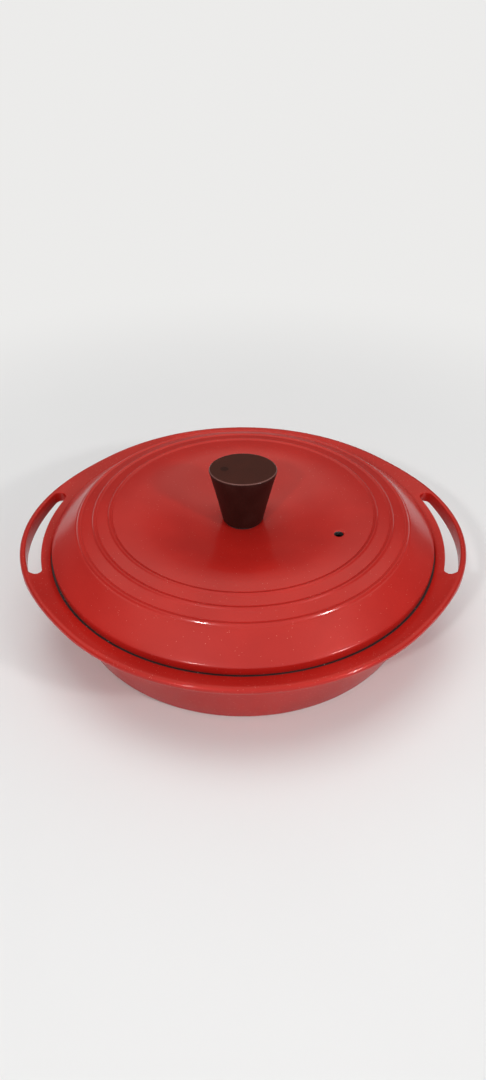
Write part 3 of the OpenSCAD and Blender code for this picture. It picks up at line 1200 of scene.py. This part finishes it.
@dataclass
class Lid:
    """The cast lid: dished middle, three beads, sloped rim, guide ring and vent."""

    finishes: Finishes
    seat_z: float = 47.3
    lid_r: float = 123.5
    band_h: float = 6.5
    crest_h: float = 17.5
    crest_r: float = 74.0
    dish_r: float = 15.0
    dish_depth: float = 10.4
    plate: float = 3.4
    curve: float = 0.005
    bead_rs: tuple[float, ...] = (85.0, 95.0, 105.0)
    bead_rise: float = 0.8
    bead_half: float = 1.5
    bead_steps: int = 14
    foot_groove: Pair = (0.42, 0.28)
    groove_lean: float = 0.06
    slope_r: float = 107.0
    slope_fall: float = 0.84
    coat_share: float = 0.55
    guide_r: float = 119.2
    guide_h: float = 3.0
    guide_in_r: float = 116.6
    guide_lean: float = 0.4
    edge_round: float = 2.0
    edge_turn: float = 50.0
    hole_r: float = 2.75
    inner_rings: tuple[float, ...] = (6.0, 10.0, 14.0)
    ring_gaps: Pair = (2.0, 1.8)
    under_rings: tuple[float, ...] = (98.0, 90.0, 85.0)
    vent_at: float = 66.0
    vent_angle: float = -27.0
    vent_r: float = 2.7
    vent_rim: float = 0.75
    vent_steps: int = 4
    patch_half: float = 4.35
    patch_deep: float = 1.4
    rim_reach: float = 2.2
    hole_reach: float = 1.2
    columns: int = 360

    @property
    def band_top(self) -> float:
        """Height of the top of the upright band, in mm."""
        return self.seat_z + self.band_h

    @property
    def vent_way(self) -> Vector:
        """Direction from the axis to the vent."""
        turn = math.radians(self.vent_angle)
        return Vector((math.cos(turn), math.sin(turn), 0))

    def plate_z(self, r: float) -> float:
        """Returns the height of the lid's upper face at a radius, in mm."""
        dish_z = self.band_top + self.crest_h - self.dish_depth
        if r < self.dish_r:
            return dish_z
        if r < self.crest_r:
            turn = math.pi * (r - self.dish_r) / (self.crest_r - self.dish_r)
            return dish_z + self.dish_depth * (1 - math.cos(turn)) / 2
        return self.band_top + self.crest_h - self.curve * (r - self.crest_r) ** 2

    def plate_rings(self) -> list[float]:
        """Lists the radii of the rings between the fixing hole and the first bead.

        Returns:
            Radii in mm, evenly spaced about the vent.
        """
        rings = [self.hole_r + 0.4, *self.inner_rings]
        step = self.vent_at * FULL_TURN / self.columns
        near = [self.vent_at + step * k for k in range(-5, 6)]
        stops = (near[0] - 1.0, self.bead_rs[0] - self.bead_half - 0.8)
        for start, gap, stop in zip(([], near), self.ring_gaps, stops):
            rings += start
            while rings[-1] + gap < stop:
                rings.append(rings[-1] + gap)
        return rings

    def section(self) -> list[Pair]:
        """Draws the lid's section as one closed loop.

        Returns:
            Radius and height of each point, in metres.
        """
        start = (self.hole_r, self.plate_z(0) - self.plate / 2)
        out = Section().to(*start).to(self.hole_r, self.plate_z(0), 0.3)
        out.along((r, self.plate_z(r)) for r in self.plate_rings())
        width, deep = self.foot_groove
        for i, middle in enumerate(self.bead_rs):
            groove_r = middle - self.bead_half - width
            out.to(groove_r, self.plate_z(groove_r))
            out.to(groove_r + self.groove_lean, self.plate_z(groove_r) - deep)
            for step in range(self.bead_steps + 1):
                across = 2 * step / self.bead_steps - 1
                r = middle + self.bead_half * across
                out.to(r, self.plate_z(r) + self.bead_rise * (1 + math.cos(math.pi * across)) / 2)
            for after in self.bead_rs[i + 1:i + 2]:
                for share in (0.2, 0.4, 0.6, 0.8):
                    r = middle + self.bead_half + share * (after - middle - 2 * self.bead_half)
                    out.to(r, self.plate_z(r))
        slope_z = self.plate_z(self.slope_r)
        out.to(self.slope_r, slope_z, 3.0)
        corner = math.radians(self.edge_turn)
        edge_r = self.lid_r - self.edge_round * (1 - math.cos(corner))
        edge_z = self.band_top - self.edge_round * (1 - math.sin(corner))
        for u in (0.3, 0.5, 0.7, 0.85):
            out.to(self.slope_r + (edge_r - self.slope_r) * u, slope_z + (edge_z - slope_z) * u)
        out.arc(self.lid_r - self.edge_round, self.band_top - self.edge_round, self.edge_round,
                self.edge_turn, 0, 6)
        out.to(self.lid_r, self.seat_z, 0.8).to(self.guide_r, self.seat_z, 0.3)
        out.to(self.guide_r - self.guide_lean, self.seat_z - self.guide_h, 0.5)
        out.to(self.guide_in_r, self.seat_z - self.guide_h, 0.5)
        out.to(self.guide_in_r, self.seat_z + 0.4 * self.band_h, 1.2)
        out.to(self.slope_r - 0.8, slope_z - self.plate, 3.0)
        for rings in (self.under_rings, reversed(self.plate_rings())):
            out.along((r, self.plate_z(r) - self.plate) for r in rings)
        out.to(self.hole_r, self.plate_z(0) - self.plate, 0.3).to(*start)
        return out.points()

    def open_vent(self, piece: Workpiece, side: Side) -> None:
        """Opens the vent on one side of the plate and rounds its rim inwards.

        Args:
            piece: The lid.
            side: The side of the plate to work on.
        """
        outward = self.vent_way
        level = self.plate_z(self.vent_at) - (0 if side is Side.TOP else self.plate)
        centre = outward * self.vent_at * MM + Vector((0, 0, level * MM))
        reach, deep = self.patch_half * MM, self.patch_deep * MM

        def in_patch(face: bmesh.types.BMFace) -> bool:
            """Says whether a face lies in the square patch about the vent."""
            away = face.calc_center_median() - centre
            along = away.x * outward.x + away.y * outward.y
            across = -away.x * outward.y + away.y * outward.x
            return abs(along) < reach and abs(across) < reach and abs(away.z) < deep

        def is_open(edge: bmesh.types.BMEdge, widths: float = self.rim_reach) -> bool:
            """Says whether an edge is open and lies within half widths of the patch."""
            away = edge.verts[0].co - centre
            return edge.is_boundary and away.length < widths * reach and abs(away.z) < deep

        piece.pick_faces(in_patch)
        bpy.ops.mesh.delete(type="FACE")
        rim = piece.pick_edges(is_open)
        rise = self.plate_z(self.vent_at + 1) - self.plate_z(self.vent_at)
        tilt = Matrix.Rotation(-math.atan(rise), 3, Vector((-outward.y, outward.x, 0)))
        twist = Matrix.Rotation(math.radians(self.vent_angle) + math.pi / 4, 3, "Z")
        outer = self.vent_r + self.vent_rim
        bpy.ops.mesh.primitive_circle_add(
            vertices=rim, radius=outer * MM, location=centre, rotation=(tilt @ twist).to_euler())
        piece.pick_edges(lambda e: e.is_wire or is_open(e))
        bpy.ops.mesh.bridge_edge_loops()
        piece.pick_edges(lambda e: is_open(e, self.hole_reach))
        down = -side.value * self.vent_rim * MM
        before_r, before_z = outer, 0.0
        for step in range(1, self.vent_steps + 1):
            a = math.pi / 2 * step / self.vent_steps
            r, z = outer - self.vent_rim * math.sin(a), 1 - math.cos(a)
            bpy.ops.mesh.extrude_edges_move(
                TRANSFORM_OT_translate={"value": (0, 0, down * (z - before_z))})
            bpy.ops.transform.resize(value=(r / before_r, r / before_r, 1), center_override=centre)
            before_r, before_z = r, z

    def is_charcoal(self, face: bmesh.types.BMFace) -> bool:
        """Says whether a face belongs to the lid's underside or to the vent's wall."""
        spot, vent = face.calc_center_median(), self.vent_way * self.vent_at
        r, z = ring_radius(spot), spot.z / MM
        off = math.hypot(spot.x / MM - vent.x, spot.y / MM - vent.y)
        half_rim = self.vent_rim / 2
        if off < self.vent_r + half_rim and z < self.plate_z(self.vent_at) - half_rim:
            return True
        middle = self.plate_z(min(r, self.slope_r)) - self.plate * self.coat_share
        return r < self.guide_r + 0.1 and z < middle - max(r - self.slope_r, 0) * self.slope_fall

    def build(self) -> bpy.types.Object:
        """Models the lid and dresses it.

        Returns:
            The finished lid.
        """
        piece = Workpiece.spun("lid_casting", self.section(), ((360.0, self.columns),))
        self.open_vent(piece, Side.TOP)
        self.open_vent(piece, Side.UNDER)
        piece.pick_edges(lambda e: e.is_boundary)
        bpy.ops.mesh.bridge_edge_loops()
        piece.weld()
        piece.dress(self.finishes.lid, self.finishes.release)
        piece.coat_faces(1, self.is_charcoal)
        lid = piece.finish(30.0)
        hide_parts("lid_shell")
        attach(lid, Body.LID.value)
        return lid


# ---------------------------------------------------------------- knob


@dataclass
class Knob:
    """The tapered knob with an oval top, and what fixes it to the lid."""

    finishes: Finishes
    foot_z: float = 61.9
    height: float = 37.2
    foot_r: float = 13.3
    foot_in: float = 0.8
    foot_up: float = 0.9
    foot_chamfer: float = 0.25
    top_half: Pair = (21.3, 18.5)
    top_round: float = 1.2
    hollow: tuple[Pair, ...] = ((0.85, 0.02), (0.5, 0.08), (0.2, 0.1))
    bow: float = 0.25
    levels: int = 14
    sides: int = 96
    pocket_r: float = 4.0
    pocket_top: float = 77.4
    gasket_r: float = 12.3
    gasket_z: float = 60.9
    hole_r: float = 2.75
    under_z: float = 57.5
    washer_r: float = 7.0
    washer_t: float = 1.0
    head_r: float = 4.8
    head_h: float = 3.0
    head_side: float = 0.6
    head_bulge: float = 0.7
    recess: tuple[float, float, float] = (4.8, 1.0, 3.0)
    recess_up: float = 0.3
    shank_r: float = 2.5
    shank_top: float = 76.5

    def stations(self) -> list[tuple[float, float, float]]:
        """Lists the ovals that the knob's skin passes through, from the foot up.

        Returns:
            Half width, half depth and height of each oval, in mm.
        """
        top_x, top_y = self.top_half
        top_z = self.foot_z + self.height
        near = self.foot_r - self.foot_chamfer
        out = [(near, near, self.foot_z + self.foot_chamfer),
               (self.foot_r, self.foot_r, self.foot_z + self.foot_up)]
        for i in range(1, self.levels + 1):
            u = i / self.levels
            bow = self.bow * math.sin(math.pi * u)
            out.append((self.foot_r + (top_x - self.foot_r) * u - bow,
                        self.foot_r + (top_y - self.foot_r) * u - bow,
                        self.foot_z + self.foot_up
                        + (self.height - (self.foot_up + self.top_round)) * u))
        for degrees in (20, 40, 60, 80, 90):
            a = math.radians(degrees)
            inset = self.top_round * (1 - math.cos(a))
            out.append((top_x - inset, top_y - inset, top_z - self.top_round * (1 - math.sin(a))))
        return out + [(top_x * share, top_y * share, top_z - deep) for share, deep in self.hollow]

    def grip(self) -> bpy.types.Object:
        """Models the knob by drawing a circle up into its oval top.

        Returns:
            The finished knob.
        """
        clear_selection()
        flat_r = self.foot_r - self.foot_in
        bpy.ops.mesh.primitive_circle_add(
            vertices=self.sides, radius=flat_r * MM, fill_type="NGON",
            location=(0, 0, self.foot_z * MM))
        piece = Workpiece("knob_grip")
        set_in_place()
        piece.edit()
        bpy.ops.mesh.select_all(action="SELECT")
        x, y, z = flat_r, flat_r, self.foot_z
        for next_x, next_y, next_z in self.stations():
            bpy.ops.mesh.extrude_region_move(
                TRANSFORM_OT_translate={"value": (0, 0, (next_z - z) * MM)})
            bpy.ops.transform.resize(
                value=(next_x / x, next_y / y, 1), center_override=(0, 0, next_z * MM))
            x, y, z = next_x, next_y, next_z
        under = (self.foot_z + 0.1) * MM
        piece.pick_faces(
            lambda f: len(f.verts) == self.sides and f.calc_center_median().z < under)
        bpy.ops.mesh.inset(thickness=(flat_r - self.pocket_r) * MM)
        bpy.ops.mesh.extrude_region_move(
            TRANSFORM_OT_translate={"value": (0, 0, (self.pocket_top - self.foot_z) * MM)})
        piece.weld()
        piece.dress(self.finishes.resin)
        return piece.finish(30.0)

    def ring(self, name: str, heights: Pair, outer: float, roundings: Sequence[float],
             columns: int, coat: bpy.types.Material) -> bpy.types.Object:
        """Models a flat ring about the screw.

        Args:
            name: Name of the piece.
            heights: Height of its lower and upper face, in mm.
            outer: Its outer radius, in mm.
            roundings: Roundings in mm: upper inner edge, upper outer, lower outer, lower inner.
            columns: Number of steps round the axis.
            coat: Its finish.

        Returns:
            The finished ring.
        """
        low, high = heights
        corners = ((self.hole_r, high), (outer, high), (outer, low), (self.hole_r, low))
        out = Section().to(self.hole_r, (low + high) / 2)
        for (r, z), rounding in zip(corners, roundings):
            out.to(r, z, rounding)
        out.to(self.hole_r, (low + high) / 2)
        piece = Workpiece.spun(name, out.points(), ((360.0, columns),))
        piece.dress(coat)
        return piece.finish()

    def screw(self) -> bpy.types.Object:
        """Models the pan-head screw with its cross recess.

        Returns:
            The finished screw.
        """
        head_z = self.under_z - self.washer_t
        out = Section().to(0, head_z - self.head_h)
        for degrees in range(75, -1, -15):
            a = math.radians(degrees)
            down = (self.head_h - self.head_side) * (1 - math.sin(a))
            out.to(self.head_r * math.cos(a) ** self.head_bulge, head_z - self.head_h + down)
        out.to(self.head_r, head_z, 0.15).to(self.shank_r, head_z, 0.2)
        out.to(self.shank_r, self.shank_top, 0.5).to(0, self.shank_top)
        piece = Workpiece.spun("screw_turned", out.points(), ((360.0, 48),))
        for turn in (0.0, math.pi / 2):
            clear_selection()
            bpy.ops.mesh.primitive_cube_add(
                size=MM, location=(0, 0, (head_z - self.head_h + self.recess_up) * MM),
                rotation=(0, 0, turn))
            cutter = bpy.context.object
            cutter.scale = self.recess
            set_in_place()
            piece.apply_modifier("BOOLEAN", operation="DIFFERENCE", object=cutter, solver="EXACT")
            bpy.data.objects.remove(cutter)
        piece.dress(self.finishes.steel)
        return piece.finish(30.0)

    def build(self) -> list[bpy.types.Object]:
        """Models the knob and its fixings and dresses them.

        Returns:
            The finished pieces.
        """
        for slot in frame["nodes"]["knob_insert"].material_slots:
            slot.material = self.finishes.brass
        knob = self.grip()
        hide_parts("knob")
        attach(knob, Body.LID.value)
        gasket = self.ring("gasket_ring", (self.gasket_z, self.foot_z), self.gasket_r,
                           (0.2, 0.35, 0.35, 0.2), 96, self.finishes.rubber)
        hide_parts("knob_gasket")
        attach(gasket, Body.LID.value)
        washer = self.ring("washer_disc", (self.under_z - self.washer_t, self.under_z),
                           self.washer_r, (0.12, 0.15, 0.4, 0.12), 72, self.finishes.steel)
        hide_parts("screw_washer")
        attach(washer, Body.LID.value)
        screw = self.screw()
        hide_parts("knob_screw")
        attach(screw, Body.LID.value)
        return [knob, gasket, washer, screw]


# ---------------------------------------------------------------- studio


def point_at(item: bpy.types.Object, aim: Sequence[float]) -> None:
    """Turns a lamp or the camera towards a point."""
    toward = Vector(aim) - item.location
    item.rotation_euler = toward.to_track_quat("-Z", "Y").to_euler()


@dataclass(frozen=True)
class Lamp:
    """A soft rectangular lamp, in metres and watts."""

    name: str
    place: tuple[float, float, float]
    size: Pair
    watts: float
    mirrored: bool = True

    def hang(self, aim: Sequence[float]) -> None:
        """Hangs the lamp.

        Args:
            aim: The point that it faces.
        """
        clear_selection()
        bpy.ops.object.light_add(type="AREA", location=self.place)
        lamp = bpy.context.object
        lamp.name = self.name
        lamp.data.shape = "RECTANGLE"
        lamp.data.size, lamp.data.size_y = self.size
        lamp.data.energy = self.watts
        lamp.visible_glossy = self.mirrored
        point_at(lamp, aim)


@dataclass
class Studio:
    """The floor, the lamps, the world and the camera, in metres.

    The bands are what the coats mirror: the sine of the height above the
    horizon and the brightness there, with front_glow in place of them between
    the two values of front_span along Y.
    """

    floor_start: float = 0.5
    floor_radius: float = 8.0
    floor_drop: float = 0.00005
    lens_mm: float = 24.8
    camera_at: tuple[float, float, float] = (0.0, -0.392, 0.346)
    aim_at: tuple[float, float, float] = (0.0, -0.004, 0.046)
    lamps: tuple[Lamp, ...] = (
        Lamp("top_lamp", (-0.1, 0.15, 1.8), (1.2, 1.2), 11.0, mirrored=False),
        Lamp("left_lamp", (-0.494, -1.012, 0.84), (0.08, 0.08), 4.2),
        Lamp("right_lamp", (0.887, -0.693, 0.70), (0.12, 0.10), 4.0))
    lamps_aim: tuple[float, float, float] = (0.0, 0.0, 0.05)
    room_colour: Colour = (0.97, 0.98, 1.0, 1.0)
    room_strength: float = 0.46
    bands: tuple[Pair, ...] = (
        (0.00, 0.08), (0.30, 0.10), (0.48, 0.15), (0.60, 0.40), (0.73, 0.92), (0.98, 0.76))
    band_tint: tuple[float, float, float] = (1.0, 0.97, 0.84)
    front_glow: Colour = (0.86, 0.83, 0.80, 1.0)
    front_span: Pair = (-0.35, -0.75)

    def lay_floor(self) -> None:
        """Makes the floor, a wide disc just under the foot."""
        clear_selection()
        bpy.ops.mesh.primitive_circle_add(
            vertices=64, radius=self.floor_start, fill_type="NGON",
            location=(0, 0, -self.floor_drop))
        floor = Workpiece("floor")
        set_in_place()
        floor.pick_edges(lambda e: True)
        bpy.ops.mesh.extrude_edges_move()
        grow = self.floor_radius / self.floor_start
        bpy.ops.transform.resize(value=(grow, grow, 1), center_override=(0, 0, 0))
        floor.dress(FloorPaint("floor_paint").make())
        floor.finish()

    def light_world(self) -> None:
        """Gives the world an even light, bands for mirrors and a plain backdrop."""
        world = bpy.data.worlds.new("studio")
        bpy.context.scene.world = world
        desk = NodeDesk(world, "ShaderNodeOutputWorld")
        path = desk.node("ShaderNodeLightPath").outputs
        shown = desk.reckon("MAXIMUM", path["Is Camera Ray"], path["Is Transmission Ray"])
        room = desk.node("ShaderNodeBackground", {
            "Color": self.room_colour, "Strength": self.room_strength})
        backdrop = desk.node("ShaderNodeBackground", {"Color": BACKDROP})

        _, forward, upward = desk.split(desk.coordinates["Generated"])
        bands = desk.node("ShaderNodeValToRGB", {0: upward})
        ramp = bands.color_ramp
        ramp.interpolation = "EASE"
        while len(ramp.elements) < len(self.bands):
            ramp.elements.new(0.5)
        for element, (place, tone) in zip(ramp.elements, self.bands):
            element.position = place
            element.color = (*(tone * share for share in self.band_tint), 1.0)
        front = desk.span(forward, *self.front_span)
        mirrored = desk.node("ShaderNodeBackground", {
            "Color": desk.blend(front, bands.outputs[0], self.front_glow)})
        lit = desk.mix(path["Is Glossy Ray"], room, mirrored)
        desk.show(desk.mix(shown, lit, backdrop))

    def set_camera(self) -> None:
        """Places the camera a little over one casserole's width in front."""
        clear_selection()
        bpy.ops.object.camera_add(location=self.camera_at)
        camera = bpy.context.object
        camera.name = "camera"
        camera.data.sensor_width = 36.0
        camera.data.lens = self.lens_mm
        camera.data.clip_start, camera.data.clip_end = 0.01, 50.0
        point_at(camera, self.aim_at)
        bpy.context.scene.camera = camera

    def build(self) -> None:
        """Sets up the whole studio."""
        bpy.context.scene.view_settings.view_transform = "Standard"
        self.lay_floor()
        for lamp in self.lamps:
            lamp.hang(self.lamps_aim)
        self.light_world()
        self.set_camera()


# ---------------------------------------------------------------- main


def main() -> None:
    """Builds the casserole and the studio, in order, and reports each piece."""
    logging.basicConfig(level=logging.INFO, format="%(name)s: %(message)s", force=True)
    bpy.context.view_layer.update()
    finishes = Finishes()
    pieces = [Pot(finishes).build(), Lid(finishes).build(), *Knob(finishes).build()]
    for piece in pieces:
        log.info("%s: %d faces", piece.name, len(piece.data.polygons))
    Studio().build()


if __name__ == "__main__":
    main()
